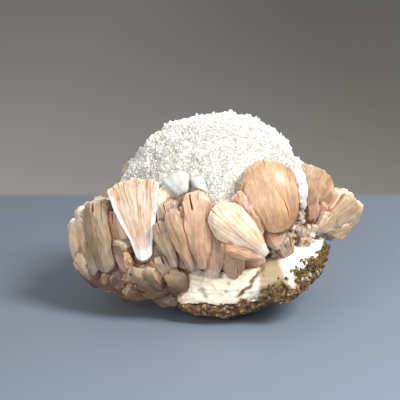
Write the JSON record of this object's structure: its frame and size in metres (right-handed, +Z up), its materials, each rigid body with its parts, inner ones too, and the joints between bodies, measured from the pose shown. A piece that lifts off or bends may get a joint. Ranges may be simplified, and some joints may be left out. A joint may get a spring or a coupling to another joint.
{
  "type": "scolecite on stilbite mineral specimen",
  "caption": "Cabinet mineral specimen: a white spiny dome of scolecite in a ring of peach stilbite sheaves on chalky matrix, resting on a small flat.",
  "frame": {"origin": "middle of the small flat that the specimen rests on", "axes": "+Z up, +X to the right seen from the front, the front with the broad sheaves and the crusts faces -Y"},
  "size_m": [0.0973, 0.0814, 0.0666],
  "materials": {
    "scolecite_white": "white sparkling needles",
    "stilbite_cream": "pearly, striated",
    "stilbite_peach": "pearly, striated",
    "stilbite_rose": "pearly, striated",
    "stilbite_tan": "waxy, striated",
    "stilbite_pearl": "pearly",
    "stilbite_rust": "stained, glassy",
    "stilbite_bed": "waxy small crystals",
    "zeolite_chalk": "chalky, broken",
    "basalt": "rough, pitted",
    "celadonite": "earthy, granular"
  },
  "bodies": {
    "root": {"scolecite_dome": "scolecite_white", "scolecite_nub": "scolecite_white", "stilbite_centre_shell": "stilbite_cream", "stilbite_left_fan": "stilbite_cream", "stilbite_domed": "stilbite_peach", "stilbite_centre_tall": "stilbite_rose", "stilbite_slender_front": "stilbite_peach", "stilbite_slender_side": "stilbite_tan", "stilbite_left_wing": "stilbite_cream", "stilbite_centre_rose": "stilbite_rose", "stilbite_pearl_band": "stilbite_pearl", "stilbite_centre_lobe": "stilbite_peach", "stilbite_left_broad": "stilbite_tan", "stilbite_left_pale": "stilbite_cream", "stilbite_left_outer": "stilbite_tan", "stilbite_right_crest": "stilbite_peach", "stilbite_cave": "stilbite_rust", "stilbite_right_end": "stilbite_tan", "stilbite_right_low": "stilbite_tan", "stilbite_right_back": "stilbite_peach", "stilbite_back_right": "stilbite_cream", "stilbite_back_wide": "stilbite_peach", "stilbite_back_slender": "stilbite_rose", "stilbite_back_left": "stilbite_tan", "stilbite_left_back": "stilbite_cream", "stilbite_bed": "stilbite_bed", "zeolite_base": "zeolite_chalk", "basalt_rind": "basalt", "celadonite_crust": "celadonite", "celadonite_speck": "celadonite"}
  },
  "joints": []
}
